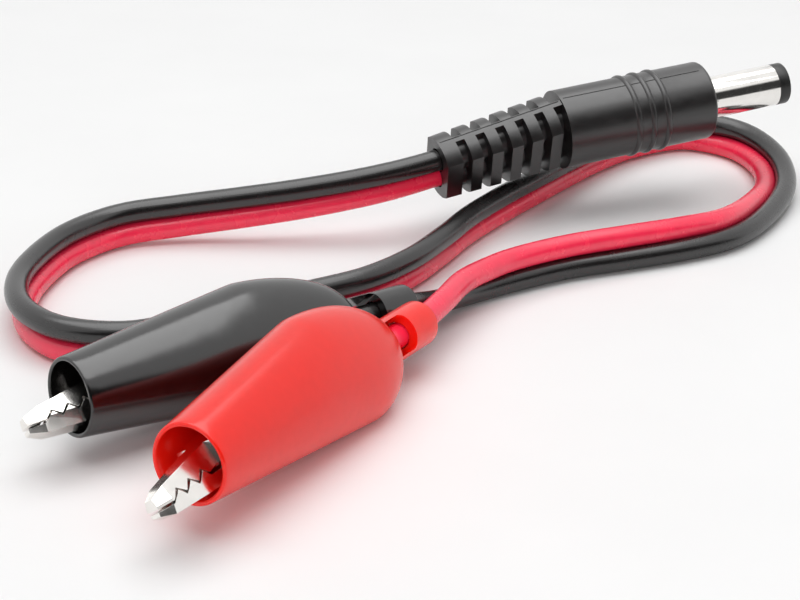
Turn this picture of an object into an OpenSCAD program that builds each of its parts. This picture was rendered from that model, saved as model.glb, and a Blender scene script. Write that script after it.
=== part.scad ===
// Low-voltage power lead: a barrel plug, a red and black twin cable and two booted spring clips.
// Sizes are in millimetres. The lead lies on the floor, z = 0, as it was left on a bench.

/* [Plug contacts] */
// Diameter of the outer contact
barrel_d = 5.5; // [5:0.1:6]
// Length of the barrel in front of the moulded body
barrel_len = 12; // [10:0.5:14]
// Wall of the outer contact
barrel_wall = 0.4; // [0.3:0.05:0.5]
// Length of the black ring at the barrel's tip
tip_ring_len = 1.6; // [1.2:0.1:2.2]
// Bore of the centre contact
pin_bore_d = 2.1; // [1.7:0.1:2.3]
// Depth of the bore in the centre contact
pin_bore_len = 9; // [7:0.5:9]
// Wall of the centre contact
contact_wall = 0.4; // [0.3:0.05:0.5]
// How far the centre contact stops short of the barrel's tip
contact_recess = 0.8; // [0.5:0.1:1.2]
// Length of the outer contact held inside the moulding
barrel_grip = 5; // [4:0.5:6]
// Thickness of the solder lug
lug_t = 0.4; // [0.3:0.05:0.5]
// Width of the solder lug's tab
lug_w = 2.4; // [1.8:0.1:3]

/* [Plug moulding] */
// Diameter of the moulded body
body_d = 10.3; // [9.6:0.1:11.5]
// Length of the moulded body
body_len = 21; // [20:0.5:23]
// Radius of the body's front edge
body_edge_r = 0.5; // [0.3:0.1:1]
// Number of grip rings
ring_count = 3; // [2:1:4]
// Distance from the front face to the first grip ring
ring_start = 7.2; // [6:0.1:9]
// Spacing of the grip rings
ring_pitch = 2.1; // [1.6:0.1:2.4]
// Width of a grip ring
ring_w = 0.9; // [0.6:0.1:1.2]
// Height of a grip ring
ring_h = 0.25; // [0.15:0.05:0.4]

/* [Strain relief] */
// Length of the strain relief
relief_len = 17.4; // [17:0.1:20]
// Width between the flat sides of the strain relief where it meets the body
relief_root_w = 7.6; // [7:0.1:8.4]
// Width between the flat sides of the strain relief at the cable
relief_end_w = 6; // [5.6:0.1:6.8]
// Diameter of its round top and bottom where it meets the body
relief_root_d = 9.8; // [9.2:0.1:10]
// Diameter of its round top and bottom at the cable
relief_end_d = 8.2; // [7.8:0.1:8.6]
// Number of slots along each side
slot_count = 6; // [4:1:6]
// Spacing of the slots
slot_pitch = 2.8; // [2.6:0.1:2.9]
// Width of a slot
slot_w = 1.25; // [1:0.05:1.5]
// Thickness of the spine left along the top and bottom between the slots
spine_w = 0.9; // [0.8:0.1:1.6]
// Wall left around the wires inside the slots
core_wall = 0.6; // [0.4:0.05:0.8]

/* [Cable] */
// Diameter of each insulated wire
wire_d = 2.8; // [2.4:0.1:3]
// Diameter of the stripped copper strands
strand_d = 1.4; // [1:0.1:1.6]
// Length of copper stripped at each end
strip_len = 4.5; // [4:0.5:6]

/* [Boots] */
// Outside diameter of a boot's mouth
mouth_d = 8.4; // [8.3:0.1:9]
// Wall of a boot
boot_wall = 0.5; // [0.4:0.05:0.55]
// Height of the belly above the middle of the mouth
crown_h = 7.5; // [7.2:0.1:8]
// Distance from the mouth back to the top of the belly
crown_back = 23; // [22:0.5:24]
// Depth of the belly below the middle of the mouth
keel_h = 6.4; // [6.2:0.1:7]
// Distance from the mouth back to the bottom of the belly
keel_back = 29; // [28:0.5:30]
// Width of the belly
belly_w = 9.4; // [9.2:0.1:10]
// Distance from the mouth back to the widest part of the belly
flank_back = 18; // [17:0.5:20]
// Distance from the mouth back to the end of the round shoulder
shoulder_back = 35.5; // [34.5:0.5:37]
// Squareness of the shoulder, 2 is a plain ellipse
shoulder_power = 2; // [1.8:0.1:2.6]
// Outside diameter of the collar around the wire
collar_d = 5.2; // [4.8:0.1:5.4]
// Length of the collar around the wire
collar_len = 5; // [4:0.5:7]
// Height of the windows on both sides, between the shoulder and the collar
window_h = 3.6; // [3.2:0.1:3.8]
// Length of those windows
window_len = 4.2; // [3.8:0.1:5]

/* [Clips] */
// Length of jaw outside the boot
jaw_out = 6.5; // [5.5:0.5:7]
// How far forward of that the black clip sits in its boot
black_seat = -0.6; // [-0.8:0.1:0.6]
// How far forward of that the red clip sits in its boot
red_seat = 0.6; // [-0.8:0.1:0.6]
// Width of the jaws at the boot's mouth
jaw_w = 3.6; // [3.4:0.1:3.8]
// Width of the jaws where the nose begins
front_w = 2.5; // [2.2:0.1:2.7]
// Width of the nose
nose_w = 1.4; // [1.2:0.1:1.6]
// Length of the nose
nose_len = 1.7; // [1.5:0.1:2]
// Width of the upper jaw's top, as a share of its width at the bite
top_share = 0.64; // [0.5:0.02:0.66]
// Width of the lower jaw's floor, as a share of its width at the bite
floor_share = 0.74; // [0.6:0.02:0.76]
// Thickness of the jaws' sheet metal
sheet_t = 0.45; // [0.35:0.05:0.5]
// How far the closed bite lies below the middle of the mouth
bite_drop = 1.65; // [1.4:0.05:1.7]
// Height of the lower jaw from its floor to the bite
lower_jaw_h = 1.5; // [1.4:0.05:1.55]
// Height of the upper jaw above the bite, at the nose
nose_h = 0.95; // [0.8:0.05:1.1]
// Height of the upper jaw above the bite, at the boot's mouth
upper_jaw_h = 2.4; // [2:0.1:2.4]
// Spacing of the teeth
tooth_pitch = 1.85; // [1.65:0.05:1.95]
// Height of the teeth
tooth_h = 0.85; // [0.6:0.05:0.9]
// Number of teeth on each edge
tooth_count = 3; // [2:1:3]
// Distance from the nose to the first valley of the bite
tooth_start = 1.9; // [1.7:0.05:2.1]
// Rise of the bite towards the hinge, in degrees
bite_tilt = 5; // [3:0.5:6]
// Distance from the boot's mouth back to the rivet
rivet_back = 7.5; // [7:0.5:9]
// Height of the rivet above the bite
rivet_rise = 1.2; // [1.1:0.1:1.4]
// Diameter of the rivet
rivet_d = 1.6; // [1.2:0.1:1.7]
// Diameter of the rivet's heads
rivet_head_d = 2.6; // [2.2:0.1:3]
// Length of both handles behind the rivet
handle_len = 16; // [14:0.5:17]
// Height of the side walls of the lower handle
handle_h = 1.4; // [1:0.1:1.6]
// Diameter of the spring's wire
spring_wire_d = 0.4; // [0.3:0.05:0.4]
// Turns of the spring
spring_turns = 2; // [1:1:2]

/* [Clearances] */
// Between closed teeth
bite_gap = 0.3; // [0.2:0.02:0.34]
// Between the walls of the two jaws, side by side
side_gap = 0.15; // [0.1:0.05:0.2]
// Around the rivet in the upper jaw, on the radius
rivet_gap = 0.05; // [0.03:0.01:0.08]
// Between the handles and the inside of the boot
seat_gap = 0.35; // [0.25:0.05:0.45]
// Around wires, strands and contacts in what holds them
fit_gap = 0.05; // [0.04:0.01:0.08]

/* [Hidden] */
$fn = 48;

BLACK = "#262524";
BOOT_RED = "#f0382c";
WIRE_RED = "#d6203f";
NICKEL = "#d9d7d2";
COPPER = "#c07a48";

// Where the plug's cable end lies, its roll, and the pitch and yaw of its two lengths
plug_at = [-2.65, 32.95, 8.84];
plug_roll = 24;
relief_pitch = 9.3;
relief_yaw = 24;
body_pitch = 5.2;
body_yaw = 19.5;
// Where each boot's collar ends, and the roll, pitch and yaw from there to the jaws
black_clip_xy = [-6.6, -2];
black_clip_turn = [45, -3.1, 220.5];
red_clip_xy = [-5.3, -7.5];
red_clip_turn = [33, -3.2, 240.7];

// The cable's route from the plug: x, y, height above resting on the floor, and the lean of the
// pair, which is the angle from the left of the route up to the black wire.
cable_route = [
    [-10.4, 30.6, 4.6, 71], [-18.9, 29.8, 3.1, 77], [-27.4, 29.6, 1.8, 83], [-35.4, 29.5, 0.7, 88],
    [-42.7, 27.8, 0.1, 92], [-48, 22, 0, 96], [-50.8, 14.5, 0, 102], [-51.8, 6.4, 0, 106],
    [-50, -1.5, 0, 102], [-45, -7.4, 0, 95], [-37.6, -9, 0, 92], [-30.9, -5.8, 0, 92],
    [-25, -1.5, 0, 95], [-18.4, 2.6, 0, 98], [-11.7, 7.2, 0, 102], [-6.4, 13.4, 0, 104],
    [-2.4, 20.6, 0, 104], [1.2, 28, 0, 104], [5.6, 35.2, 0, 104], [10.5, 42.3, 0, 104],
    [15.4, 49.3, 0, 106], [20.4, 56, 0, 108], [26.2, 62, 0, 108], [33.4, 65.6, 0, 100],
    [40.2, 62, 0, 70], [43.5, 54.2, 0, 38], [43.2, 45.6, 0, 12], [39.5, 36.4, 0, -15],
    [34.4, 28.4, 0, -38], [27.9, 23.8, 0, -58], [20.6, 20.4, 0, -72], [13.2, 17.2, 0, -84],
    [6.6, 13.2, 0, -90]];
// From where the pair parts, each wire's own way to its boot: x, y, z.
black_tail = [[1, 9, 1.6], [-3, 4.2, 2.5]];
red_tail = [[2.6, 8.9, 4.5], [-0.2, 4.2, 4.9], [-2.5, -1.7, 5.05]];

wire_sides = 8;
wire_r = wire_d / 2;
strand_r = strand_d / 2;
wire_corner_r = wire_r / cos(180 / wire_sides);

// Vector helpers
function unit(v) = v / norm(v);
function square_to(v, t) = unit(v - (v * t) * t);
function turn_x(v, a) = [v.x, v.y * cos(a) - v.z * sin(a), v.y * sin(a) + v.z * cos(a)];
function turn_y(v, a) = [v.x * cos(a) + v.z * sin(a), v.y, v.z * cos(a) - v.x * sin(a)];
function turn_z(v, a) = [v.x * cos(a) - v.y * sin(a), v.x * sin(a) + v.y * cos(a), v.z];
function blend(a, b, t) = a + (b - a) * t;

// Plug: x runs from the cable along the relief, then along the body from its rear end
function relief_dir(v) = turn_z(turn_y(turn_x(v, plug_roll), -relief_pitch), relief_yaw);
function body_dir(v) = turn_z(turn_y(turn_x(v, plug_roll), -body_pitch), body_yaw);
body_at = plug_at + relief_dir([relief_len, 0, 0]);
contact_len = pin_bore_len + lug_t;
contact_r = pin_bore_d / 2 + contact_wall;
tail_r = wire_r - strand_r;
solder_r = 0.5;
touch_gap = 0.02;
wire_stop = body_len - barrel_grip - lug_t - strip_len - 1;

// Boot: how far its outline lies from the middle of the mouth at each distance back from the mouth,
// straight to the belly and then round to the collar
collar_r = collar_d / 2;
neck_r = collar_r + 0.06;
neck_len = collar_len + window_len;
function outline(back, corner, belly, collar, end) =
    back <= corner ? blend(mouth_d / 2, belly, back / corner)
    : let (t = min((back - corner) / (end - corner), 1))
      collar + (belly - collar) * pow(1 - pow(t, shoulder_power), 1 / shoulder_power);
function boot_top(back, inset) =
    outline(back, crown_back, crown_h, neck_r, shoulder_back - inset) - inset;
function boot_low(back, inset) =
    outline(back, keel_back, keel_h, neck_r, shoulder_back - inset) - inset;
function boot_half(back, inset) =
    outline(back, flank_back, belly_w / 2, neck_r, shoulder_back - inset) - inset;

// Clip: x runs from the collar's end to the jaws, with z = 0 in the middle of the collar and mouth.
// Each section of a boot is an ellipse: its middle, half width and half height.
boot_len = shoulder_back + neck_len;
function boot_mid(back, inset) = [
    boot_len - back, 0, (boot_top(back, inset) - boot_low(back, inset)) / 2];
function boot_half_h(back, inset) = (boot_top(back, inset) + boot_low(back, inset)) / 2;
// Height of the boot's inside above its middle, to the side of it by y
function inside_h(back, y) =
    boot_half_h(back, boot_wall) * sqrt(1 - pow(y / boot_half(back, boot_wall), 2));

shoulder_steps = 9;
cone_steps = 2;
function boot_backs(inset, past) =
    let (end = shoulder_back - inset)
    [for (i = [0 : shoulder_steps]) end - (end - flank_back) * (1 - cos(90 * i / shoulder_steps)),
     for (i = [1 : cone_steps]) flank_back * (1 - i / cone_steps),
     if (past > 0) -past];

function clip_dir(v, turn) = turn_z(turn_y(turn_x(v, turn.x), turn.y), turn.z);
// Height of the collar's end at which the rolled boot just rests on the floor
function rest_z(turn) = max([for (back = boot_backs(0, 0))
    norm([boot_half(back, 0) * sin(turn.x), boot_half_h(back, 0) * cos(turn.x)])
    - clip_dir(boot_mid(back, 0), turn).z]);
black_clip_at = [black_clip_xy.x, black_clip_xy.y, rest_z(black_clip_turn)];
red_clip_at = [red_clip_xy.x, red_clip_xy.y, rest_z(red_clip_turn)];

bite_z = -bite_drop;
jaw_floor = bite_z - lower_jaw_h;
tip_x = boot_len + jaw_out;
rivet_x = boot_len - rivet_back;
rivet_z = bite_z + rivet_rise;
rear_w = jaw_w + 2 * (side_gap + sheet_t);
ear_r = rivet_d / 2 + 0.6;
bite_len = tooth_start + (tooth_count + 0.5) * tooth_pitch;
jog_x = tip_x - bite_len - 1.15;
handle_back = rivet_back + handle_len;
handle_x = boot_len - handle_back;
bend_x = rivet_x - ear_r - 1;
top_z = bite_z + upper_jaw_h;
rivet_top_z = top_z + 1.4;
lever_z = boot_mid(handle_back, boot_wall).z + inside_h(handle_back, rear_w / 2) - seat_gap;
handle_z = boot_mid(handle_back, boot_wall).z - inside_h(handle_back, jaw_w / 2) + seat_gap;
function handle_floor(x) = blend(jaw_floor, handle_z, (bend_x - x) / (bend_x - handle_x));
crimp_r = strand_r + fit_gap + sheet_t;
crimp_x = collar_len + window_len + 2;
crimp_len = strip_len - 0.8;
wire_end_x = crimp_x - 0.8;

// A closed skin through rings of points that all have the same count
module skin(rings) {
    n = len(rings[0]);
    last = len(rings) - 1;
    polyhedron(
        points = [for (ring = rings) each ring],
        faces = [
            [for (k = [0 : n - 1]) k],
            [for (k = [n - 1 : -1 : 0]) last * n + k],
            for (i = [0 : last - 1], k = [0 : n - 1])
                let (a = i * n + k, b = i * n + (k + 1) % n, c = b + n, d = a + n)
                each k < n / 2 ? [[a, d, c], [a, c, b]] : [[a, d, b], [b, d, c]]]);
}

// Cable: middle of the pair, its direction, and the direction from the red wire to the black one
pair_mid = [
    body_at + body_dir([wire_stop, 0, 0]), body_at, plug_at,
    for (p = cable_route) [p.x, p.y, wire_r * abs(sin(p[3])) + wire_corner_r + p.z]];
pair_n = len(pair_mid);
function along(p, i) = unit(p[min(i + 1, len(p) - 1)] - p[max(i - 1, 0)]);
pair_t = [for (i = [0 : pair_n - 1])
    i == 0 ? body_dir([-1, 0, 0]) : i == 2 ? relief_dir([-1, 0, 0]) : along(pair_mid, i)];
function lean_dir(t, a) = cos(a) * unit([-t.y, t.x, 0]) + sin(a) * [0, 0, 1];
pair_u = [for (i = [0 : pair_n - 1]) square_to(
    i == 0 ? body_dir([0, 0, 1]) : i < 3 ? relief_dir([0, 0, 1])
           : lean_dir(pair_t[i], cable_route[i - 3][3]), pair_t[i])];

function wire_ring(p, t, u) =
    let (v = cross(t, u))
    [for (k = [0 : wire_sides - 1]) let (a = 360 * (k + 0.5) / wire_sides)
        p + wire_corner_r * (cos(a) * u + sin(a) * v)];

// side is 1 for the black wire and -1 for the red one
function pair_rings(side) = [for (i = [0 : pair_n - 1])
    wire_ring(pair_mid[i] + side * wire_r * pair_u[i], pair_t[i], pair_u[i])];

function tail_rings(side, tail, at, turn, seat) =
    let (p = concat([pair_mid[pair_n - 1] + side * wire_r * pair_u[pair_n - 1]], tail,
                    [at, at + clip_dir([wire_end_x + seat, 0, 0], turn)]))
    [for (i = [1 : len(p) - 1])
        let (t = i < len(p) - 2 ? along(p, i) : clip_dir([1, 0, 0], turn))
        wire_ring(p[i], t, square_to([0, 0, -1], t))];

module black_wire() {
    color(BLACK) skin(concat(pair_rings(1),
                             tail_rings(1, black_tail, black_clip_at, black_clip_turn, black_seat)));
}

module red_wire() {
    color(WIRE_RED) skin(concat(pair_rings(-1),
                                tail_rings(-1, red_tail, red_clip_at, red_clip_turn, red_seat)));
}

// Places things in the plug's body, with x = 0 at its front face and the barrel along +x
module in_body() {
    translate(body_at) rotate([plug_roll, -body_pitch, body_yaw]) translate([body_len, 0, 0]) children();
}

module in_relief() {
    translate(plug_at) rotate([plug_roll, -relief_pitch, relief_yaw]) children();
}

module along_x(x, len, d) {
    translate([x, 0, 0]) rotate([0, 90, 0]) cylinder(h = len, d = d);
}

// The root of the outer contact: a thinner neck and a flange that the moulding grips
module root_shape(grow = 0) {
    along_x(-barrel_grip - grow, barrel_grip + grow + 1, barrel_d - barrel_wall + 2 * grow);
    along_x(-barrel_grip - grow, 1 + 2 * grow, barrel_d + 1.6 + 2 * grow);
}

module barrel_sleeve() {
    color(NICKEL) in_body() difference() {
        union() {
            root_shape();
            along_x(0, barrel_len - tip_ring_len, barrel_d);
        }
        along_x(-barrel_grip - 1, barrel_len + barrel_grip + 2, barrel_d - 2 * barrel_wall);
    }
}

module barrel_insulator() {
    color(BLACK) in_body() difference() {
        union() {
            along_x(-barrel_grip, barrel_grip + barrel_len - tip_ring_len,
                    barrel_d - 2 * barrel_wall - 2 * fit_gap);
            along_x(barrel_len - tip_ring_len, tip_ring_len, barrel_d);
        }
        along_x(-barrel_grip - 1, barrel_grip + 1 + barrel_len - contact_recess, 2 * contact_r + 2 * fit_gap);
        along_x(0, barrel_len + 1, pin_bore_d + 0.2);
    }
}

// The solder tail reaches back over the red wire's strands
contact_front = barrel_len - contact_recess;
contact_back = contact_front - contact_len;
solder_back = -barrel_grip - lug_t - strip_len;

module tail_shape(grow = 0) {
    translate([0, 0, solder_r + touch_gap - tail_r])
        along_x(solder_back - grow, contact_back - solder_back + grow, 2 * solder_r + 2 * grow);
}

module centre_contact() {
    color(NICKEL) in_body() difference() {
        union() {
            along_x(contact_back, contact_len, 2 * contact_r);
            tail_shape();
        }
        along_x(contact_front - pin_bore_len, pin_bore_len + 1, pin_bore_d);
    }
}

// A washer behind the outer contact, with a tab bent back over the black wire's strands
module lug_shape(grow = 0) {
    along_x(-barrel_grip - lug_t - grow, lug_t + 2 * grow, barrel_d + 1.6 + 2 * grow);
    translate([solder_back - grow, -lug_w / 2 - grow, wire_r + strand_r + touch_gap - grow])
        cube([strip_len + lug_t + 2 * grow, lug_w + 2 * grow, lug_t + 2 * grow]);
}

module sleeve_lug() {
    color(NICKEL) in_body() difference() {
        lug_shape();
        along_x(-barrel_grip - 2 * lug_t, 3 * lug_t, 2 * tail_r + 1);
    }
}

// side is 1 for the black wire and -1 for the red one
module plug_strand_shape(side, grow = 0) {
    translate([0, 0, side * wire_r])
        along_x(wire_stop - body_len, strip_len + grow, strand_d + 2 * grow);
}

module black_plug_strands() {
    color(COPPER) in_body() plug_strand_shape(1);
}

module red_plug_strands() {
    color(COPPER) in_body() plug_strand_shape(-1);
}

// Body profile, front edge rounded, with the grip rings
module body_shape() {
    rotate([0, 90, 0]) rotate_extrude() {
        translate([0, -body_len]) square([body_d / 2, body_len - body_edge_r]);
        translate([0, -body_edge_r - 0.01]) square([body_d / 2 - body_edge_r, body_edge_r + 0.01]);
        translate([body_d / 2 - body_edge_r, -body_edge_r]) circle(r = body_edge_r, $fn = 32);
        for (i = [0 : ring_count - 1])
            translate([body_d / 2 - ring_w / 2 + ring_h, -ring_start - i * ring_pitch])
                circle(d = ring_w, $fn = 24);
    }
}

// What the slots leave standing: a core around both wires and a spine along the middle
module relief_core() {
    for (side = [-1, 1])
        translate([0, 0, side * wire_r]) along_x(-1, relief_len + 4, wire_d + 2 * core_wall);
    translate([-1, -spine_w / 2, -body_d]) cube([relief_len + 4, spine_w, 2 * body_d]);
}

// Strain relief: a cone with two flat sides, slotted. The last slot runs along the body's rear face.
module relief_shape() {
    slot_start = relief_len - slot_count * slot_pitch + (slot_pitch - slot_w);
    full_len = relief_len + 1;
    difference() {
        intersection() {
            rotate([0, 90, 0]) cylinder(h = full_len, d1 = relief_end_d, d2 = relief_root_d, $fn = 72);
            linear_extrude(2 * body_d, center = true) polygon([
                [0, -relief_end_w / 2], [full_len, -relief_root_w / 2],
                [full_len, relief_root_w / 2], [0, relief_end_w / 2]]);
        }
        for (i = [0 : slot_count - 1]) difference() {
            translate([slot_start + i * slot_pitch, -body_d, -body_d])
                cube([slot_w + (i == slot_count - 1 ? 2 : 0), 2 * body_d, 2 * body_d]);
            relief_core();
        }
    }
}

module wire_hole(side, x, len, room = 0) {
    translate([0, 0, side * wire_r]) along_x(x, len, 2 * (wire_corner_r + fit_gap + room));
}

module plug_overmould() {
    color(BLACK) difference() {
        union() {
            in_body() body_shape();
            in_relief() relief_shape();
        }
        in_body() {
            root_shape(fit_gap);
            lug_shape(fit_gap);
            tail_shape(fit_gap);
            plug_strand_shape(1, fit_gap);
            plug_strand_shape(-1, fit_gap);
        }
        for (side = [-1, 1]) {
            in_relief() wire_hole(side, -1, relief_len + 2.5);
            in_body() wire_hole(side, 2 - body_len, wire_stop - 2);
            // Room for the slight bend of the wires where the two lengths meet
            in_body() wire_hole(side, 0.35 - body_len, 2.8, 0.35);
        }
    }
}

module boot_skin(inset, past = 0) {
    sides = 36;
    skin([for (back = boot_backs(inset, past))
        let (mid = boot_mid(back, inset), w = boot_half(back, inset), h = boot_half_h(back, inset))
        [for (k = [0 : sides - 1]) let (a = 360 * k / sides) mid + [0, w * cos(a), h * sin(a)]]]);
}

// A tapered shell over the clip, a collar around the wire and windows between the two
module boot() {
    edge_r = 0.5;
    difference() {
        union() {
            boot_skin(0);
            rotate([0, 90, 0]) rotate_extrude() {
                translate([0, edge_r]) square([collar_r, neck_len + boot_wall / 2 - edge_r]);
                square([collar_r - edge_r, 2 * edge_r]);
                translate([collar_r - edge_r, edge_r]) circle(r = edge_r, $fn = 32);
            }
        }
        boot_skin(boot_wall, 2);
        along_x(-1, neck_len + 4, 2 * wire_corner_r + 2 * fit_gap);
        translate([collar_len, -collar_d, -window_h / 2])
            cube([window_len - edge_r / 4, 2 * collar_d, window_h]);
    }
}

// Zigzag of the bite, from the nose back, lifted by rise
function bite(rise) = [for (i = [0 : 2 * tooth_count])
    [tip_x - tooth_start - tooth_pitch / 2 * i,
     bite_z + rise + (i / 2 - 1) * tooth_pitch * tan(bite_tilt) + (i % 2 == 0 ? -1 : 1) * tooth_h / 2]];

// A flat plate in the clip's side plane, between two distances to each side of the middle
module side_plates(inner, outer, points) {
    for (side = [-1, 1])
        translate([0, side * (inner + outer) / 2 + (outer - inner) / 2, 0]) rotate([90, 0, 0])
            linear_extrude(outer - inner) polygon(points);
}

module mid_plate(w, points) {
    translate([0, w / 2, 0]) rotate([90, 0, 0]) linear_extrude(w) polygon(points);
}

module across(x, z, d, w) {
    translate([x, w / 2, z]) rotate([90, 0, 0]) cylinder(h = w, d = d);
}

// A strip of sheet metal along a line of points, measured upward
function strip(line) = concat(line, [for (i = [len(line) - 1 : -1 : 0]) line[i] + [0, sheet_t]]);

// Stations along the front of the jaws, from behind the mouth to the nose, and half widths at the bite
nose_slope = 0.5;
front_x = boot_len - 3.5;
nose_x = tip_x - nose_len;
jaw_half = [jaw_w / 2, jaw_w / 2, front_w / 2, nose_w / 2];
upper_low = bite_z + bite_gap;
jog_z = blend(top_z, rivet_top_z, (boot_len - jog_x) / rivet_back);
nose_top = upper_low + nose_h;
upper_xs = [jog_x, boot_len, nose_x, tip_x];
upper_zs = [jog_z, top_z, blend(top_z, nose_top, (nose_x - boot_len) / (tip_x - 0.8 - boot_len)), nose_top - 0.5];
lower_xs = [front_x, boot_len, nose_x, tip_x];
lower_zs = [jaw_floor, jaw_floor, jaw_floor, jaw_floor + nose_slope];

// One ring of a jaw's front: upright for a while on the side of the teeth, leaning in to the far edge.
// way is 1 for the upper jaw and -1 for the lower one.
function jaw_ring(x, half, share, z, way, inset) =
    let (h = max(half - inset, 0.05), e = max(half * share - inset, 0.05),
         teeth = bite_z - way * (1.5 + inset), edge = z - way * inset)
    way > 0
    ? [[x, h, teeth], [x, h, bite_z], [x, e, edge], [x, -e, edge], [x, -h, bite_z], [x, -h, teeth]]
    : [[x, e, edge], [x, h, bite_z], [x, h, teeth], [x, -h, teeth], [x, -h, bite_z], [x, -e, edge]];

module jaw_front(xs, zs, share, way, inset) {
    skin([for (i = [0 : 3])
        let (x = xs[i] - (i == 0 ? 2 * inset : i == 3 ? inset : 0))
        jaw_ring(x, jaw_half[i], share, zs[i], way, inset)]);
}

// Lower jaw: toothed front, hinge ears, handle and the crimp for the wire
module lower_jaw() {
    half = jaw_w / 2;
    teeth_z = bite(0)[0][1];
    rear_x = front_x + 0.5;
    difference() {
        intersection() {
            jaw_front(lower_xs, lower_zs, floor_share, -1, 0);
            mid_plate(2 * jaw_w, concat(
                [[tip_x + 1, jaw_floor - 1], [tip_x + 1, teeth_z]], bite(0),
                [[front_x - 1, bite_z], [front_x - 1, jaw_floor - 1]]));
        }
        jaw_front(lower_xs, lower_zs, floor_share, -1, sheet_t);
    }
    difference() {
        union() {
            side_plates(half - sheet_t, half, [
                [rear_x, jaw_floor], [rear_x, bite_z],
                [rivet_x + ear_r, bite_z], [rivet_x + ear_r, rivet_z], [rivet_x - ear_r, rivet_z],
                [bend_x, jaw_floor + handle_h], [handle_x + 3, handle_floor(handle_x + 3) + handle_h],
                [handle_x, handle_z + sheet_t], [handle_x, handle_z], [bend_x, jaw_floor]]);
            for (side = [-1, 1])
                translate([0, side * (half - sheet_t / 2), 0]) across(rivet_x, rivet_z, 2 * ear_r, sheet_t);
            mid_plate(jaw_w, strip([[handle_x, handle_z], [bend_x, jaw_floor], [rear_x, jaw_floor]]));
            mid_plate(2 * crimp_r, strip([
                [crimp_x, -crimp_r], [crimp_x + crimp_len, -crimp_r],
                [handle_x + 1.5, handle_floor(handle_x + 1.5) + 0.1]]));
            along_x(crimp_x, crimp_len, 2 * crimp_r);
        }
        along_x(crimp_x - 1, crimp_len + 2, strand_d + 2 * fit_gap);
        across(rivet_x, rivet_z, rivet_d, 2 * jaw_w);
    }
}

// Upper jaw: toothed front, then a wider channel over the lower jaw's ears, then the lever
module upper_jaw() {
    teeth_z = bite(bite_gap)[0][1];
    heel_z = upper_low + 0.3;
    jog_end = jog_x + sheet_t;
    difference() {
        union() {
            intersection() {
                jaw_front(upper_xs, upper_zs, top_share, 1, 0);
                mid_plate(2 * jaw_w, concat(
                    [[tip_x + 1, teeth_z]], bite(bite_gap),
                    [[jog_end, heel_z], [jog_x - 1, heel_z],
                     [jog_x - 1, rivet_top_z + 1], [tip_x + 1, rivet_top_z + 1]]));
            }
            translate([jog_x, -rear_w / 2, heel_z]) cube([sheet_t, rear_w, jog_z - 0.1 - heel_z]);
        }
        jaw_front(upper_xs, upper_zs, top_share, 1, sheet_t);
    }
    difference() {
        union() {
            side_plates(rear_w / 2 - sheet_t, rear_w / 2, [
                [jog_end, heel_z], [rivet_x + ear_r, heel_z], [rivet_x, rivet_z - ear_r],
                [rivet_x - ear_r, rivet_z], [rivet_x - ear_r - 2, rivet_top_z - 0.9],
                [handle_x, lever_z - 1], [handle_x, lever_z], [rivet_x, rivet_top_z],
                [jog_x, jog_z], [jog_end, jog_z - 0.1]]);
            for (side = [-1, 1])
                translate([0, side * (rear_w - sheet_t) / 2, 0]) across(rivet_x, rivet_z, 2 * ear_r, sheet_t);
            mid_plate(rear_w, strip([
                [handle_x, lever_z - sheet_t], [rivet_x, rivet_top_z - sheet_t], [jog_x, jog_z - sheet_t],
                [jog_end, jog_z - sheet_t - 0.1]]));
        }
        across(rivet_x, rivet_z, rivet_d + 2 * rivet_gap, 2 * rear_w);
    }
}

module rivet() {
    head_t = 0.45;
    across(rivet_x, rivet_z, rivet_d, rear_w + 2 * side_gap);
    for (side = [-1, 1])
        translate([0, side * (rear_w / 2 + side_gap + head_t / 2), 0])
            across(rivet_x, rivet_z, rivet_head_d, head_t);
}

// Torsion spring: a leg on the lower handle, turns around the rivet, a leg under the lever
spring_steps = 14;
coil_r = rivet_d / 2 + 0.25 + spring_wire_d / 2;
coil_pitch = spring_wire_d + 0.06;
lever_slope = (lever_z - rivet_top_z) / handle_len;
spring_leg = 9;
low_leg_z = handle_floor(rivet_x - spring_leg) + sheet_t + spring_wire_d / 2 + 0.04;
function lever_under(x) = rivet_top_z + (rivet_x - x) * lever_slope - sheet_t - spring_wire_d / 2 - 0.06;
function coil_point(a) = [
    rivet_x + coil_r * sin(a), coil_pitch * (a / 360 - spring_turns / 2), rivet_z - coil_r * cos(a)];
coil_end = 360 * spring_turns - 150;
spring_path = concat(
    [[rivet_x - spring_leg, coil_point(0).y, low_leg_z]],
    [for (i = [0 : spring_steps * spring_turns]) coil_point(coil_end * i / (spring_steps * spring_turns))],
    [[rivet_x - spring_leg, coil_point(coil_end).y, lever_under(rivet_x - spring_leg)]]);

module spring() {
    sides = 8;
    skin([for (i = [0 : len(spring_path) - 1])
        let (t = along(spring_path, i), u = square_to([0, 1, 0], t), v = cross(t, u))
        [for (k = [0 : sides - 1]) let (a = 360 * k / sides)
            spring_path[i] + spring_wire_d / 2 * (cos(a) * u + sin(a) * v)]]);
}

module clip_strands() {
    along_x(wire_end_x, strip_len, strand_d);
}

module in_black_clip(seat = black_seat) {
    translate(black_clip_at) rotate(black_clip_turn) translate([seat, 0, 0]) children();
}

module in_red_clip(seat = red_seat) {
    translate(red_clip_at) rotate(red_clip_turn) translate([seat, 0, 0]) children();
}

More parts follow.
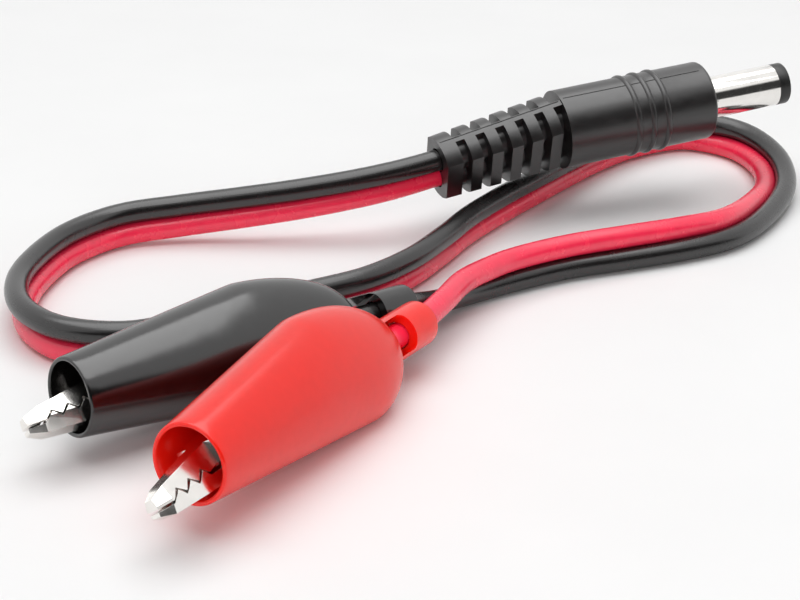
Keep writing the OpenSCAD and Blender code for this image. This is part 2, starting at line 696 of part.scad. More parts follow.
module black_boot() { color(BLACK) in_black_clip(0) boot(); }
module black_lower_jaw() { color(NICKEL) in_black_clip() lower_jaw(); }
module black_upper_jaw() { color(NICKEL) in_black_clip() upper_jaw(); }
module black_rivet() { color(NICKEL) in_black_clip() rivet(); }
module black_spring() { color(NICKEL) in_black_clip() spring(); }
module black_clip_strands() { color(COPPER) in_black_clip() clip_strands(); }
module red_boot() { color(BOOT_RED) in_red_clip(0) boot(); }
module red_lower_jaw() { color(NICKEL) in_red_clip() lower_jaw(); }
module red_upper_jaw() { color(NICKEL) in_red_clip() upper_jaw(); }
module red_rivet() { color(NICKEL) in_red_clip() rivet(); }
module red_spring() { color(NICKEL) in_red_clip() spring(); }
module red_clip_strands() { color(COPPER) in_red_clip() clip_strands(); }

plug_overmould();
barrel_sleeve();
barrel_insulator();
centre_contact();
sleeve_lug();
black_wire();
red_wire();
black_plug_strands();
red_plug_strands();
black_clip_strands();
red_clip_strands();
black_boot();
black_lower_jaw();
black_upper_jaw();
black_rivet();
black_spring();
red_boot();
red_lower_jaw();
red_upper_jaw();
red_rivet();
red_spring();
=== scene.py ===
import math

import bmesh
import bpy
from mathutils import Euler, Matrix, Vector


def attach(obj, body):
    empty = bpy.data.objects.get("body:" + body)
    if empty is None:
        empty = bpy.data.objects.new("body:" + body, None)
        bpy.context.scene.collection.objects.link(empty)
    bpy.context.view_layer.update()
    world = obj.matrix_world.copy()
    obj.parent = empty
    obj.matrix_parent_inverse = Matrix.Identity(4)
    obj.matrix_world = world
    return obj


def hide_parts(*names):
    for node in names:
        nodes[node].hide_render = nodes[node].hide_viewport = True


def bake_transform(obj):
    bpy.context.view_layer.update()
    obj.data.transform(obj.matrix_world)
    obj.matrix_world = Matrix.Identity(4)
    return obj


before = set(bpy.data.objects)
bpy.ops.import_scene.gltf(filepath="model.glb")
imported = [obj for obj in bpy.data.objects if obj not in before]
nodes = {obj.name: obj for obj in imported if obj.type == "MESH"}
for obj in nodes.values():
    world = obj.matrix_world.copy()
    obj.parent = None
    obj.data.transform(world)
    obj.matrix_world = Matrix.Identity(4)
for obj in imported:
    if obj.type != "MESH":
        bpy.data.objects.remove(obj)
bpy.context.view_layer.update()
scene = bpy.context.scene
scene.view_settings.view_transform = "Standard"

MM = 0.001
UP = Vector((0, 0, 1))
SMOOTH_DEG = 40


# Camera, at the photograph's viewing angle
CAMERA_EYE = Vector((-7.4, -219.6, 97.7)) * MM
CAMERA_LOOK = Vector((-7.4, 10.5, 0)) * MM
CAMERA_LENS, CAMERA_SENSOR = 93.96, 36
CAMERA_NEAR, CAMERA_FAR = 0.01, 20

camera_data = bpy.data.cameras.new("camera")
camera_data.lens = CAMERA_LENS
camera_data.sensor_width = CAMERA_SENSOR
camera_data.clip_start = CAMERA_NEAR
camera_data.clip_end = CAMERA_FAR
camera = bpy.data.objects.new("camera", camera_data)
camera.location = CAMERA_EYE
camera.rotation_mode = "QUATERNION"
camera.rotation_quaternion = (CAMERA_LOOK - CAMERA_EYE).to_track_quat("-Z", "Y")
scene.collection.objects.link(camera)
scene.camera = camera


# Mesh helpers
def new_piece(name, verts, faces, uvs=None):
    """A mesh object from points in metres. uvs gives one pair for each corner of each face."""
    mesh = bpy.data.meshes.new(name)
    mesh.from_pydata([tuple(v) for v in verts], [], faces)
    if uvs:
        layer = mesh.uv_layers.new(name="run")
        layer.data.foreach_set("uv", [c for face in uvs for uv in face for c in uv])
    work = bmesh.new()
    work.from_mesh(mesh)
    bmesh.ops.recalc_face_normals(work, faces=work.faces)
    work.to_mesh(mesh)
    work.free()
    mesh.shade_smooth()
    mesh.set_sharp_from_angle(angle=math.radians(SMOOTH_DEG))
    piece = bpy.data.objects.new(name, mesh)
    scene.collection.objects.link(piece)
    return piece


def square_to(v, t):
    return (v - v.dot(t) * t).normalized()


def spline(points, steps):
    """Points on a smooth curve through the given ones, steps to each span."""
    last = len(points) - 1
    out = []
    for i in range(last):
        p0, p1, p2, p3 = (points[min(max(j, 0), last)] for j in range(i - 1, i + 3))
        for k in range(steps):
            t = k / steps
            out.append(0.5 * (2 * p1 + (p2 - p0) * t + (2 * p0 - 5 * p1 + 4 * p2 - p3) * t ** 2
                              + (3 * p1 - p0 - 3 * p2 + p3) * t ** 3))
    out.append(points[last].copy())
    return out


def tangents(path):
    last = len(path) - 1
    return [(path[min(i + 1, last)] - path[max(i - 1, 0)]).normalized() for i in range(last + 1)]


def tube(name, path, ups, sides, section):
    """A capped tube. section(i, a) is its radius at ring i, at angle a from that ring's up."""
    verts, faces, uvs, runs = [], [], [], []
    run = 0.0
    for i, (p, t) in enumerate(zip(path, tangents(path))):
        run += (p - path[i - 1]).length if i else 0
        runs.append(run)
        u = square_to(ups[i], t)
        v = t.cross(u)
        for k in range(sides):
            a = 2 * math.pi * k / sides
            verts.append(p + section(i, a) * (math.cos(a) * u + math.sin(a) * v))
    for i in range(len(path) - 1):
        for k in range(sides):
            n = (k + 1) % sides
            faces.append((i * sides + k, i * sides + n, (i + 1) * sides + n, (i + 1) * sides + k))
            near, far = k / sides, (k + 1) / sides
            uvs.append([(runs[i], near), (runs[i], far), (runs[i + 1], far), (runs[i + 1], near)])
    for ring in (0, len(path) - 1):
        faces.append(tuple(ring * sides + k for k in range(sides)))
        uvs.append([(runs[ring], k / sides) for k in range(sides)])
    return new_piece(name, verts, faces, uvs=uvs)


# The cable's route, from part.scad: x, y, height above resting on the floor, lean of the pair
PLUG_AT = Vector((-2.65, 32.95, 8.84)) * MM
PLUG_ROLL = 24
RELIEF_PITCH, RELIEF_YAW, RELIEF_LEN = 9.3, 24, 17.4 * MM
BODY_PITCH, BODY_YAW, BODY_LEN = 5.2, 19.5, 21 * MM
WIRE_STOP = 10.1 * MM
WIRE_R = 1.4 * MM
SOLID_WIRE_SIDES = 8
WIRE_CORNER_R = WIRE_R / math.cos(math.pi / SOLID_WIRE_SIDES)
CABLE_ROUTE = [
    (-10.4, 30.6, 4.6, 71), (-18.9, 29.8, 3.1, 77), (-27.4, 29.6, 1.8, 83), (-35.4, 29.5, 0.7, 88),
    (-42.7, 27.8, 0.1, 92), (-48, 22, 0, 96), (-50.8, 14.5, 0, 102), (-51.8, 6.4, 0, 106),
    (-50, -1.5, 0, 102), (-45, -7.4, 0, 95), (-37.6, -9, 0, 92), (-30.9, -5.8, 0, 92),
    (-25, -1.5, 0, 95), (-18.4, 2.6, 0, 98), (-11.7, 7.2, 0, 102), (-6.4, 13.4, 0, 104),
    (-2.4, 20.6, 0, 104), (1.2, 28, 0, 104), (5.6, 35.2, 0, 104), (10.5, 42.3, 0, 104),
    (15.4, 49.3, 0, 106), (20.4, 56, 0, 108), (26.2, 62, 0, 108), (33.4, 65.6, 0, 100),
    (40.2, 62, 0, 70), (43.5, 54.2, 0, 38), (43.2, 45.6, 0, 12), (39.5, 36.4, 0, -15),
    (34.4, 28.4, 0, -38), (27.9, 23.8, 0, -58), (20.6, 20.4, 0, -72), (13.2, 17.2, 0, -84),
    (6.6, 13.2, 0, -90)]
# From where the pair parts, each wire's own way to its boot: x, y, z
BLACK_TAIL = [(1, 9, 1.6), (-3, 4.2, 2.5)]
RED_TAIL = [(2.6, 8.9, 4.5), (-0.2, 4.2, 4.9), (-2.5, -1.7, 5.05)]
# Where each boot's collar ends, its roll, pitch and yaw, and how far out its clip sits
CLIP_AT = {"black": Vector((-6.6, -2, 4.5589)) * MM, "red": Vector((-5.3, -7.5, 4.9602)) * MM}
CLIP_TURN = {"black": (45, -3.1, 220.5), "red": (33, -3.2, 240.7)}
CLIP_SEAT = {"black": -0.6, "red": 0.6}
WIRE_IN_BOOT = 10.4
WIRE_END = {c: (WIRE_IN_BOOT + CLIP_SEAT[c]) * MM for c in CLIP_SEAT}
WIRE_STEPS, WIRE_SIDES = 7, 32
WEB_HALF_DEG = 21


def turned(roll, pitch, yaw):
    return Euler([math.radians(a) for a in (roll, pitch, yaw)], "XYZ").to_matrix().to_4x4()


RELIEF_TURN = turned(PLUG_ROLL, -RELIEF_PITCH, RELIEF_YAW)
BODY_TURN = turned(PLUG_ROLL, -BODY_PITCH, BODY_YAW)
BODY_AT = PLUG_AT + RELIEF_TURN @ Vector((RELIEF_LEN, 0, 0))
CLIP_PLACE = {c: Matrix.Translation(CLIP_AT[c]) @ turned(*CLIP_TURN[c]) for c in CLIP_AT}

# Middle of the pair, its direction, and the way from its middle to the black wire
pair_mid = [BODY_AT + BODY_TURN @ Vector((WIRE_STOP, 0, 0)), BODY_AT, PLUG_AT]
for x, y, lift, lean in CABLE_ROUTE:
    rise = WIRE_R * abs(math.sin(math.radians(lean))) + WIRE_CORNER_R
    pair_mid.append(Vector((x * MM, y * MM, lift * MM + rise)))
pair_t = tangents(pair_mid)
pair_t[0] = BODY_TURN @ Vector((-1, 0, 0))
pair_t[2] = RELIEF_TURN @ Vector((-1, 0, 0))
pair_u = [BODY_TURN @ UP, RELIEF_TURN @ UP, RELIEF_TURN @ UP]
for t, row in zip(pair_t[3:], CABLE_ROUTE):
    lean = math.radians(row[3])
    pair_u.append(math.cos(lean) * Vector((-t.y, t.x, 0)).normalized() + math.sin(lean) * UP)
pair_u = [square_to(u, t) for u, t in zip(pair_u, pair_t)]


def wire(name, colour, side, tail):
    """One wire of the pair: a round tube with a flat face where it is bonded to the other one."""
    place = CLIP_PLACE[colour]
    own = [m + side * WIRE_R * u for m, u in zip(pair_mid, pair_u)]
    own += [Vector(p) * MM for p in tail]
    end = WIRE_END[colour]
    own += [place.translation, place @ Vector((end / 2, 0, 0)), place @ Vector((end, 0, 0))]
    path = spline(own, WIRE_STEPS)
    bonded = (len(pair_mid) - 1) * WIRE_STEPS
    mids, ups = spline(pair_mid, WIRE_STEPS), spline(pair_u, WIRE_STEPS)
    for i in range(bonded - WIRE_STEPS):
        path[i] = mids[i] + side * WIRE_R * ups[i].normalized()
    ways = tangents(path)
    towards = [-side * square_to(ups[i], ways[i]) for i in range(bonded + 1)]
    for t in ways[bonded + 1:]:
        towards.append(square_to(towards[-1], t))

    def section(i, a):
        fade = min(max((bonded - i) / WIRE_STEPS, 0), 1)
        off = abs((a + math.pi) % (2 * math.pi) - math.pi)
        web = math.radians(WEB_HALF_DEG) * fade
        return WIRE_R / math.cos(off) if off < web else WIRE_R

    piece = tube(name + "_cord", path, towards, WIRE_SIDES, section)
    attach(piece, "lead")
    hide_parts(name)
    return piece


black_wire = wire("black_wire", "black", 1, BLACK_TAIL)
red_wire = wire("red_wire", "red", -1, RED_TAIL)


# Materials. Noise is in waves per metre, and depths are in metres.
RAMP_START, RAMP_END = 0.3, 0.7
SPREAD_START, SPREAD_END = 0.25, 0.75
MOULD_SKIN, MOULD_WAVES, MOULD_CLOUDS = 5200, 260, 900
WIRE_LINES, WIRE_LINE_STRETCH, WIRE_LINE_DEPTH = 30, (1.2, 2.5, 1), 1.2e-5
WIRE_SKIN, WIRE_SKIN_DEPTH, WIRE_CLOUDS = 4200, 2e-6, 420
WIRE_VARY, WIRE_MATT, WIRE_SPECULAR = 0.06, 0.04, 0.8
PLATE_MARKS, PLATE_CLOUDS = 1500, 700
PLATE_VARY, PLATE_BRIGHTER, PLATE_DULLER = 0.05, 0.04, 0.08


def nodes_of(name):
    material = bpy.data.materials.new(name)
    material.use_nodes = True
    tree = material.node_tree
    return material, tree, tree.nodes["Principled BSDF"]


def noise(tree, coords, scale, detail=3, stretch=(1, 1, 1)):
    """A noise texture, its scale in waves per metre."""
    mapping = tree.nodes.new("ShaderNodeMapping")
    mapping.inputs["Scale"].default_value = stretch
    tree.links.new(coords, mapping.inputs["Vector"])
    tex = tree.nodes.new("ShaderNodeTexNoise")
    tex.inputs["Scale"].default_value = scale
    tex.inputs["Detail"].default_value = detail
    tree.links.new(mapping.outputs["Vector"], tex.inputs["Vector"])
    return tex.outputs["Fac"]


def ramp(tree, fac, low, high):
    """Colours from low to high over the middle of fac's range."""
    node = tree.nodes.new("ShaderNodeValToRGB")
    node.color_ramp.elements[0].position = RAMP_START
    node.color_ramp.elements[1].position = RAMP_END
    node.color_ramp.elements[0].color = (*low, 1)
    node.color_ramp.elements[1].color = (*high, 1)
    tree.links.new(fac, node.inputs["Fac"])
    return node.outputs["Color"]


def spread(tree, fac, low, high):
    """Numbers from low to high over the middle of fac's range."""
    node = tree.nodes.new("ShaderNodeMapRange")
    node.inputs["From Min"].default_value = SPREAD_START
    node.inputs["From Max"].default_value = SPREAD_END
    node.inputs["To Min"].default_value = low
    node.inputs["To Max"].default_value = high
    tree.links.new(fac, node.inputs["Value"])
    return node.outputs["Result"]


def bump(tree, heights, shader):
    """Chains bumps, each a height from 0 to 1 and its depth."""
    normal = None
    for height, depth in heights:
        node = tree.nodes.new("ShaderNodeBump")
        node.inputs["Strength"].default_value = 1
        node.inputs["Distance"].default_value = depth
        tree.links.new(height, node.inputs["Height"])
        if normal:
            tree.links.new(normal, node.inputs["Normal"])
        normal = node.outputs["Normal"]
    tree.links.new(normal, shader.inputs["Normal"])


def shades(colour, share):
    return [tuple(min(c * (1 + s * share), 1) for c in colour) for s in (-1, 1)]


def moulded(name, colour, rough, grain, wave, vary=0.12, matt=0.05, specular=0.5):
    """Moulded plastic: a fine skin, slow waves from cooling, small changes of colour and gloss."""
    material, tree, shader = nodes_of(name)
    coords = tree.nodes.new("ShaderNodeTexCoord").outputs["Object"]
    fine = noise(tree, coords, MOULD_SKIN)
    slow = noise(tree, coords, MOULD_WAVES, 2)
    cloud = noise(tree, coords, MOULD_CLOUDS, 4)
    tree.links.new(ramp(tree, cloud, *shades(colour, vary)), shader.inputs["Base Color"])
    tree.links.new(spread(tree, cloud, rough - matt, rough + matt), shader.inputs["Roughness"])
    shader.inputs["Specular IOR Level"].default_value = specular
    bump(tree, [(slow, wave), (fine, grain)], shader)
    return material, shader


def drawn(name, colour, rough):
    """Extruded insulation: faint lines along the run and a soft unevenness."""
    material, tree, shader = nodes_of(name)
    place = tree.nodes.new("ShaderNodeTexCoord")
    lines = noise(tree, place.outputs["UV"], WIRE_LINES, 2, WIRE_LINE_STRETCH)
    fine = noise(tree, place.outputs["Object"], WIRE_SKIN)
    cloud = noise(tree, place.outputs["Object"], WIRE_CLOUDS, 4)
    gloss = spread(tree, cloud, rough - WIRE_MATT, rough + WIRE_MATT)
    tree.links.new(ramp(tree, cloud, *shades(colour, WIRE_VARY)), shader.inputs["Base Color"])
    tree.links.new(gloss, shader.inputs["Roughness"])
    shader.inputs["Specular IOR Level"].default_value = WIRE_SPECULAR
    bump(tree, [(lines, WIRE_LINE_DEPTH), (fine, WIRE_SKIN_DEPTH)], shader)
    return material


def plated(name, colour, rough, depth=3e-6):
    """Bright plated metal with fine marks and faint clouds."""
    material, tree, shader = nodes_of(name)
    coords = tree.nodes.new("ShaderNodeTexCoord").outputs["Object"]
    marks = noise(tree, coords, PLATE_MARKS)
    cloud = noise(tree, coords, PLATE_CLOUDS, 4)
    gloss = spread(tree, cloud, rough - PLATE_BRIGHTER, rough + PLATE_DULLER)
    tree.links.new(ramp(tree, cloud, *shades(colour, PLATE_VARY)), shader.inputs["Base Color"])
    tree.links.new(gloss, shader.inputs["Roughness"])
    shader.inputs["Metallic"].default_value = 1
    bump(tree, [(marks, depth)], shader)
    return material


plug_pvc, _ = moulded("plug_pvc", (0.009, 0.008, 0.008), rough=0.34, grain=6e-6, wave=1.2e-5,
                      specular=0.9)
insulator, _ = moulded("insulator", (0.012, 0.012, 0.012), rough=0.35, grain=3e-6, wave=4e-6)
black_boot_pvc, _ = moulded("black_boot_pvc", (0.004, 0.0035, 0.0035), rough=0.18, grain=6e-7,
                            wave=2e-5, matt=0.03, specular=0.9)
red_boot_pvc, shader = moulded("red_boot_pvc", (1.0, 0.014, 0.006), rough=0.2, grain=6e-7,
                               wave=2e-5, vary=0.03, matt=0.03)
shader.inputs["Subsurface Weight"].default_value = 0.5
shader.inputs["Subsurface Radius"].default_value = (1.0, 0.1, 0.06)
shader.inputs["Subsurface Scale"].default_value = 0.002
black_insulation = drawn("black_insulation", (0.007, 0.006, 0.006), rough=0.26)
red_insulation = drawn("red_insulation", (0.93, 0.022, 0.075), rough=0.26)
nickel = plated("nickel", (0.86, 0.84, 0.81), rough=0.1)
stamped = plated("stamped", (0.88, 0.855, 0.82), rough=0.17, depth=6e-7)
contact_metal = plated("contact_metal", (0.76, 0.70, 0.56), rough=0.2)
spring_steel = plated("spring_steel", (0.62, 0.62, 0.63), rough=0.24)
copper = plated("copper", (0.72, 0.37, 0.2), rough=0.28, depth=1e-5)


def coat(piece, material):
    piece.data.materials.clear()
    piece.data.materials.append(material)


coat(black_wire, black_insulation)
coat(red_wire, red_insulation)


# Boots, in mm, from the same outline as part.scad: straight to the belly, then round to the
# collar. The windows are 0.6 mm taller than the solids' windows.
MOUTH_R, BOOT_WALL = 4.2, 0.5
# How far behind the mouth each side reaches out most, and how far out
CROWN, KEEL, FLANK = (23, 7.5), (29, 6.4), (18, 4.7)
SHOULDER_BACK, SHOULDER_CLEAR = 35.5, 0.2
COLLAR_R, COLLAR_LEN, COLLAR_EDGE_R, NECK_R = 2.6, 5, 0.5, 2.66
WINDOW_LEN, WINDOW_H, WINDOW_CORNER_R, WINDOW_END_WALL = 4.2, 4.2, 0.5, 0.12
NECK_LEN = COLLAR_LEN + WINDOW_LEN
BOOT_LEN = SHOULDER_BACK + NECK_LEN
BORE_R, BORE_END_FLARE, BORE_ROOT_FLARE, BORE_ROOT_STEP = 1.56, 0.2, 0.1, 0.05
COLLAR_RINGS = (1.5, 3, COLLAR_LEN - 0.2, COLLAR_LEN + 2, NECK_LEN - 0.3)
BORE_RINGS = (NECK_LEN + 0.3, NECK_LEN - 1, COLLAR_LEN, 2, 0.3)
BOOT_SIDES = 88
EDGE_STEPS, SHOULDER_STEPS, CONE_STEPS, RIM_STEPS, CORNER_STEPS = 6, 26, 14, 8, 6


def outline(back, belly, inset):
    corner, reach = belly
    if back <= corner:
        return MOUTH_R + (reach - MOUTH_R) * back / corner - inset
    t = min((back - corner) / (SHOULDER_BACK - inset - corner), 1)
    return NECK_R + (reach - NECK_R) * math.sqrt(max(1 - t * t, 0)) - inset


def boot_ring(back, inset):
    """A ring of the shell: x, middle height, half width, half height."""
    top, low = outline(back, CROWN, inset), outline(back, KEEL, inset)
    return BOOT_LEN - back, (top - low) / 2, outline(back, FLANK, inset), (top + low) / 2


def round_ring(x, r):
    return x, 0, r, r


def boot_rings():
    """Rings from the collar's end over the outside, around the rim and back along the inside."""
    rings = []
    for k in range(EDGE_STEPS + 1):
        a = math.pi / 2 * k / EDGE_STEPS
        rings.append(round_ring(COLLAR_EDGE_R - COLLAR_EDGE_R * math.cos(a),
                                COLLAR_R - COLLAR_EDGE_R + COLLAR_EDGE_R * math.sin(a)))
    rings += [round_ring(x, COLLAR_R) for x in COLLAR_RINGS]
    flank_back = FLANK[0]
    shoulder = []
    for k in range(SHOULDER_STEPS + 1):
        share = 1 - math.cos(math.pi / 2 * k / SHOULDER_STEPS)
        shoulder.append(SHOULDER_BACK - (SHOULDER_BACK - flank_back) * share)
    cone = [flank_back * (1 - k / CONE_STEPS) for k in range(1, CONE_STEPS + 1)]
    outside = [b for b in shoulder + cone if b > BOOT_WALL / 2]
    rings += [boot_ring(b, 0) for b in outside]
    for k in range(RIM_STEPS + 1):
        a = math.pi * k / RIM_STEPS
        inset = BOOT_WALL / 2 * (1 - math.cos(a))
        rings.append(boot_ring(BOOT_WALL / 2 * (1 - math.sin(a)), inset))
    last = SHOULDER_BACK - BOOT_WALL
    rings += [boot_ring(b, BOOT_WALL) for b in reversed(outside) if b < last - SHOULDER_CLEAR]
    rings.append(round_ring(BOOT_LEN - last + BORE_ROOT_STEP, BORE_R + BORE_ROOT_FLARE))
    rings += [round_ring(x, BORE_R) for x in BORE_RINGS]
    rings.append(round_ring(0, BORE_R + BORE_END_FLARE))
    return rings


def boot(colour, material):
    """A shell with a round rim, a collar around the wire and windows between them."""
    rings = boot_rings()
    place = CLIP_PLACE[colour]
    verts, faces = [], []
    for x, mid, half_w, half_h in rings:
        for k in range(BOOT_SIDES):
            a = 2 * math.pi * k / BOOT_SIDES
            point = Vector((x, half_w * math.cos(a), mid + half_h * math.sin(a)))
            verts.append(place @ (point * MM))
    for i in range(len(rings)):
        here, there = i * BOOT_SIDES, (i + 1) % len(rings) * BOOT_SIDES
        for k in range(BOOT_SIDES):
            m = (k + 1) % BOOT_SIDES
            faces.append((here + k, here + m, there + m, there + k))
    piece = new_piece(colour + "_boot_shell", verts, faces)
    cut_window(piece, place)
    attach(piece, "lead")
    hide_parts(colour + "_boot")
    coat(piece, material)


def rounded_slab(x0, x1, half_y, half_z, r):
    """Points and faces of a slab across y, with its corners rounded in the x-z plane."""
    ring = []
    for cx, cz, start in ((x1 - r, half_z - r, 0), (x0 + r, half_z - r, 90),
                          (x0 + r, r - half_z, 180), (x1 - r, r - half_z, 270)):
        for k in range(CORNER_STEPS + 1):
            a = math.radians(start + 90 * k / CORNER_STEPS)
            ring.append((cx + r * math.cos(a), cz + r * math.sin(a)))
    n = len(ring)
    verts = [Vector((x, y, z)) for y in (-half_y, half_y) for x, z in ring]
    faces = [tuple(range(n)), tuple(range(2 * n - 1, n - 1, -1))]
    faces += [(k, (k + 1) % n, n + (k + 1) % n, n + k) for k in range(n)]
    return verts, faces


def cut_window(piece, place):
    """Cuts one slab right through the neck, which leaves a window on each side."""
    verts, faces = rounded_slab(COLLAR_LEN, NECK_LEN - WINDOW_END_WALL, 2 * COLLAR_R,
                                WINDOW_H / 2, WINDOW_CORNER_R)
    cutter = new_piece("cutter", [place @ (v * MM) for v in verts], faces)
    cut = piece.modifiers.new("window", "BOOLEAN")
    cut.operation = "DIFFERENCE"
    cut.solver = "EXACT"
    cut.object = cutter
    depsgraph = bpy.context.evaluated_depsgraph_get()
    shaped = bpy.data.meshes.new_from_object(piece.evaluated_get(depsgraph))
    piece.modifiers.clear()
    piece.data = shaped
    shaped.set_sharp_from_angle(angle=math.radians(SMOOTH_DEG))
    bpy.data.objects.remove(cutter)


boot("black", black_boot_pvc)
boot("red", red_boot_pvc)


# Springs, in mm, along the same line as part.scad: a leg on the handle, the turns around the
# rivet and a leg under the lever
RIVET_X, RIVET_Z = 37.2, -0.45
SPRING_R, SPRING_WIRE_R, SPRING_PITCH = 1.25, 0.2, 0.46
SPRING_TURN_DEG, SPRING_START_Y = 570, -0.46
SPRING_LEG, SPRING_LOW_Z, SPRING_TOP_Z = 9, -3.113, 3.301
SPRING_COIL_STEPS, SPRING_LEG_STEPS, SPRING_SIDES = 60, 8, 14


def spring(colour):
    """A torsion spring: one tube from the leg on the handle, around the rivet, to the leg under the
    lever.
    """
    coil = []
    for k in range(SPRING_COIL_STEPS + 1):
        deg = SPRING_TURN_DEG * k / SPRING_COIL_STEPS
        a = math.radians(deg)
        coil.append(Vector((RIVET_X + SPRING_R * math.sin(a),
                            SPRING_START_Y + SPRING_PITCH * deg / 360,
                            RIVET_Z - SPRING_R * math.cos(a))))
    low = Vector((RIVET_X - SPRING_LEG, coil[0].y, SPRING_LOW_Z))
    top = Vector((RIVET_X - SPRING_LEG, coil[-1].y, SPRING_TOP_Z))
    line = [low.lerp(coil[0], k / SPRING_LEG_STEPS) for k in range(SPRING_LEG_STEPS)] + coil
    line += [coil[-1].lerp(top, k / SPRING_LEG_STEPS) for k in range(1, SPRING_LEG_STEPS + 1)]
    place = CLIP_PLACE[colour] @ Matrix.Translation((CLIP_SEAT[colour] * MM, 0, 0))
    side = place.to_3x3() @ Vector((0, 1, 0))
    path = [place @ (p * MM) for p in line]
    piece = tube(colour + "_spring_wire", path, [side] * len(path), SPRING_SIDES,
                 lambda i, a: SPRING_WIRE_R * MM)
    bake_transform(piece)
    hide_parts(colour + "_spring")
    coat(piece, spring_steel)


for colour in CLIP_PLACE:
    spring(colour)


# Nodes that keep their CAD shape: rounded edges and a finish
WELD_WITHIN = 1e-6
EDGE_SEGMENTS, EDGE_LIMIT_DEG = 3, 28
BEND_LIMIT_DEG = 11


def gentle_bends(limit_deg):
    """A node group that shades a mesh smooth over the edges that bend less than the limit."""
    group = bpy.data.node_groups.new("gentle_bends", "GeometryNodeTree")
    for way in ("INPUT", "OUTPUT"):
        group.interface.new_socket("Geometry", in_out=way, socket_type="NodeSocketGeometry")
    start, end = group.nodes.new("NodeGroupInput"), group.nodes.new("NodeGroupOutput")
    angle = group.nodes.new("GeometryNodeInputMeshEdgeAngle").outputs["Unsigned Angle"]
    small = group.nodes.new("FunctionNodeCompare")
    small.operation = "LESS_THAN"
    small.inputs["B"].default_value = math.radians(limit_deg)
    group.links.new(angle, small.inputs["A"])
    clear = group.nodes.new("GeometryNodeRemoveAttribute")
    clear.inputs["Name"].default_value = "custom_normal"
    group.links.new(start.outputs["Geometry"], clear.inputs["Geometry"])
    geometry = clear.outputs["Geometry"]
    for domain in ("FACE", "EDGE"):
        node = group.nodes.new("GeometryNodeSetShadeSmooth")
        node.domain = domain
        group.links.new(geometry, node.inputs["Geometry"])
        geometry = node.outputs["Geometry"]
    group.links.new(small.outputs["Result"], node.inputs["Shade Smooth"])
    group.links.new(geometry, end.inputs["Geometry"])
    return group


smooth_bends = gentle_bends(BEND_LIMIT_DEG)


def finish_node(name, material, edge, bends=None):
    piece = nodes[name]
    coat(piece, material)
    weld = piece.modifiers.new("weld", "WELD")
    weld.merge_threshold = WELD_WITHIN
    if edge:
        bevel = piece.modifiers.new("edges", "BEVEL")
        bevel.width = edge
        bevel.segments = EDGE_SEGMENTS
        bevel.limit_method = "ANGLE"
        bevel.angle_limit = math.radians(EDGE_LIMIT_DEG)
        bevel.use_clamp_overlap = True
    if bends:
        smooth = piece.modifiers.new("bends", "NODES")
        smooth.node_group = bends


finish_node("plug_overmould", plug_pvc, edge=0.16 * MM)
finish_node("barrel_sleeve", nickel, edge=0)
finish_node("barrel_insulator", insulator, edge=0.15 * MM)
finish_node("centre_contact", contact_metal, edge=0.05 * MM)
finish_node("sleeve_lug", contact_metal, edge=0.05 * MM)
for end in ("plug", "clip"):
    for colour in ("black", "red"):
        finish_node(f"{colour}_{end}_strands", copper, edge=0.1 * MM)
for colour in ("black", "red"):
    finish_node(colour + "_lower_jaw", stamped, edge=0.08 * MM, bends=smooth_bends)
    finish_node(colour + "_upper_jaw", stamped, edge=0.08 * MM, bends=smooth_bends)
    finish_node(colour + "_rivet", nickel, edge=0.12 * MM)


# Parting bead of the plug's mould, along the top of the strain relief and of the body
BEAD_Y, BEAD_R = 0.3 * MM, 0.07 * MM
BEAD_STEPS, BEAD_SIDES = 24, 10
RELIEF_END_R, RELIEF_ROOT_R, BODY_R = 4.1 * MM, 4.85 * MM, 5.15 * MM
BODY_TOP = math.sqrt(BODY_R ** 2 - BEAD_Y ** 2)


def bead(name, at, turn, start, end, start_z, end_z):
    place = Matrix.Translation(at) @ turn
    path = []
    for k in range(BEAD_STEPS + 1):
        path.append(place @ Vector((start + (end - start) * k / BEAD_STEPS, BEAD_Y,
                                    start_z + (end_z - start_z) * k / BEAD_STEPS)))
    up = place.to_3x3() @ UP
    piece = tube(name, path, [up] * len(path), BEAD_SIDES, lambda i, a: BEAD_R)
    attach(piece, "lead")
    coat(piece, plug_pvc)


bead("relief_bead", PLUG_AT, RELIEF_TURN, start=0.3 * MM, end=RELIEF_LEN - 0.1 * MM,
     start_z=RELIEF_END_R, end_z=RELIEF_ROOT_R)
bead("body_bead", BODY_AT, BODY_TURN, start=0.4 * MM, end=BODY_LEN - 1.2 * MM,
     start_z=BODY_TOP, end_z=BODY_TOP)


# Floor, light and background
WHITE = (1, 1, 1, 1)
FLOOR_HALF = 6
FLOOR_NEAR, FLOOR_FAR = 0.2, 0.6
FLOOR_WHITE = (0.93, 0.93, 0.93, 1)
FLOOR_ROUGH, FLOOR_SPECULAR = 0.55, 0.2
PAPER_CLOUDS = 40
PAPER_DARK, PAPER_LIGHT = (0.865, 0.865, 0.864), (0.885, 0.885, 0.884)
DARK_WAY, DARK = (0.34, -0.94, -0.5), 0.04
DARK_START, DARK_END = 0.25, 0.42
DIFFUSE_STRENGTH, SHOWN_STRENGTH = 0.25, 1
LAMP_LOOK = Vector((0, 0, 0.005))


def slope(tree, value, start, end, low, high):
    node = tree.nodes.new("ShaderNodeMapRange")
    node.interpolation_type = "SMOOTHSTEP"
    for name, number in (("From Min", start), ("From Max", end), ("To Min", low), ("To Max", high)):
        node.inputs[name].default_value = number
    tree.links.new(value, node.inputs["Value"])
    return node.outputs["Result"]


def combine(tree, operation, first, second):
    node = tree.nodes.new("ShaderNodeMath")
    node.operation = operation
    tree.links.new(first, node.inputs[0])
    tree.links.new(second, node.inputs[1])
    return node.outputs["Value"]


def mixed(tree, fac, first, second):
    node = tree.nodes.new("ShaderNodeMixShader")
    tree.links.new(fac, node.inputs["Fac"])
    tree.links.new(first, node.inputs[1])
    tree.links.new(second, node.inputs[2])
    return node.outputs["Shader"]


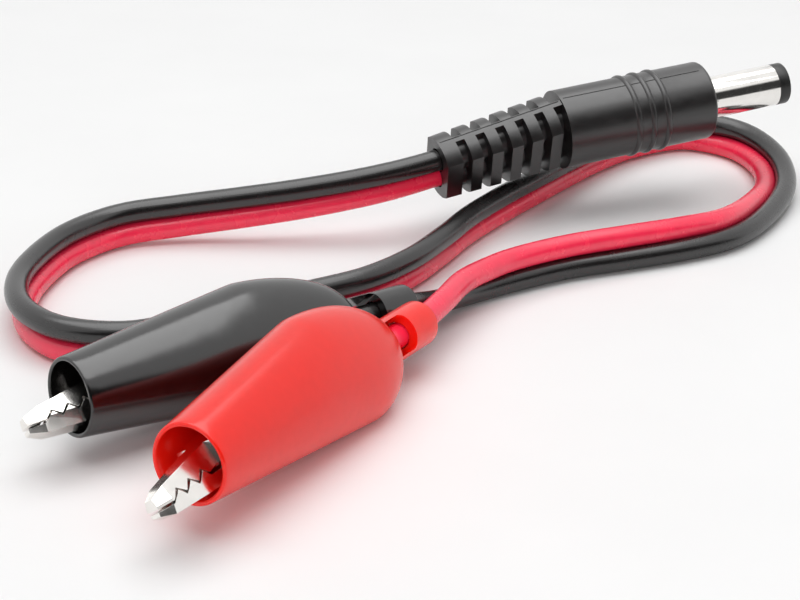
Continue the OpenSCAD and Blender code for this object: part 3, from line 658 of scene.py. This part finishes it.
def mirrored(tree):
    """The light path node, and 1 where a reflection or a see-through piece shows what is behind."""
    path = tree.nodes.new("ShaderNodeLightPath")
    return path, combine(tree, "MAXIMUM", path.outputs["Is Glossy Ray"],
                         path.outputs["Is Transmission Ray"])


def floor_material():
    """Pale paper that keeps the shadows near the part and goes over to plain white further out."""
    material, tree, shader = nodes_of("floor")
    coords = tree.nodes.new("ShaderNodeTexCoord").outputs["Object"]
    paper = noise(tree, coords, PAPER_CLOUDS)
    tree.links.new(ramp(tree, paper, PAPER_DARK, PAPER_LIGHT), shader.inputs["Base Color"])
    shader.inputs["Roughness"].default_value = FLOOR_ROUGH
    shader.inputs["Specular IOR Level"].default_value = FLOOR_SPECULAR
    away = tree.nodes.new("ShaderNodeVectorMath")
    away.operation = "LENGTH"
    tree.links.new(coords, away.inputs[0])
    path, shown = mirrored(tree)
    seen = combine(tree, "MAXIMUM", path.outputs["Is Camera Ray"], shown)
    white = tree.nodes.new("ShaderNodeEmission")
    white.inputs["Color"].default_value = FLOOR_WHITE
    far = slope(tree, away.outputs["Value"], FLOOR_NEAR, FLOOR_FAR, 0, 1)
    surface = mixed(tree, combine(tree, "MULTIPLY", far, seen), shader.outputs["BSDF"],
                    white.outputs["Emission"])
    tree.links.new(surface, tree.nodes["Material Output"].inputs["Surface"])
    return material


corners = [(-FLOOR_HALF, -FLOOR_HALF, 0), (FLOOR_HALF, -FLOOR_HALF, 0),
           (FLOOR_HALF, FLOOR_HALF, 0), (-FLOOR_HALF, FLOOR_HALF, 0)]
floor = new_piece("floor", corners, [(0, 1, 2, 3)])
coat(floor, floor_material())

# A white studio. Reflections show it dark low down on the camera's side, a little to the right.
world = bpy.data.worlds.new("studio")
world.use_nodes = True
scene.world = world
tree = world.node_tree
facing = tree.nodes.new("ShaderNodeVectorMath")
facing.operation = "DOT_PRODUCT"
facing.inputs[1].default_value = DARK_WAY
tree.links.new(tree.nodes.new("ShaderNodeTexCoord").outputs["Generated"], facing.inputs[0])
shade = slope(tree, facing.outputs["Value"], DARK_START, DARK_END, 1, DARK)
path, shown = mirrored(tree)
light = tree.nodes["Background"]
light.inputs["Color"].default_value = WHITE
light.inputs["Strength"].default_value = DIFFUSE_STRENGTH
seen = tree.nodes.new("ShaderNodeBackground")
seen.inputs["Strength"].default_value = SHOWN_STRENGTH
tree.links.new(shade, seen.inputs["Color"])
backdrop = tree.nodes.new("ShaderNodeBackground")
backdrop.inputs["Color"].default_value = WHITE
backdrop.inputs["Strength"].default_value = SHOWN_STRENGTH
studio = mixed(tree, shown, light.outputs["Background"], seen.outputs["Background"])
whole = mixed(tree, path.outputs["Is Camera Ray"], studio, backdrop.outputs["Background"])
tree.links.new(whole, tree.nodes["World Output"].inputs["Surface"])


def softbox(name, at, size, power):
    data = bpy.data.lights.new(name, "AREA")
    data.shape = "RECTANGLE"
    data.size, data.size_y = size
    data.energy = power
    lamp = bpy.data.objects.new(name, data)
    lamp.location = at
    lamp.rotation_mode = "QUATERNION"
    lamp.rotation_quaternion = (LAMP_LOOK - Vector(at)).to_track_quat("-Z", "Y")
    scene.collection.objects.link(lamp)
    return lamp


softbox("key", at=(-0.03, 0.05, 0.6), size=(0.78, 0.72), power=3.95)
fill = softbox("fill", at=(0.05, -0.65, 0.3), size=(0.5, 0.4), power=1.6)
fill.visible_glossy = False
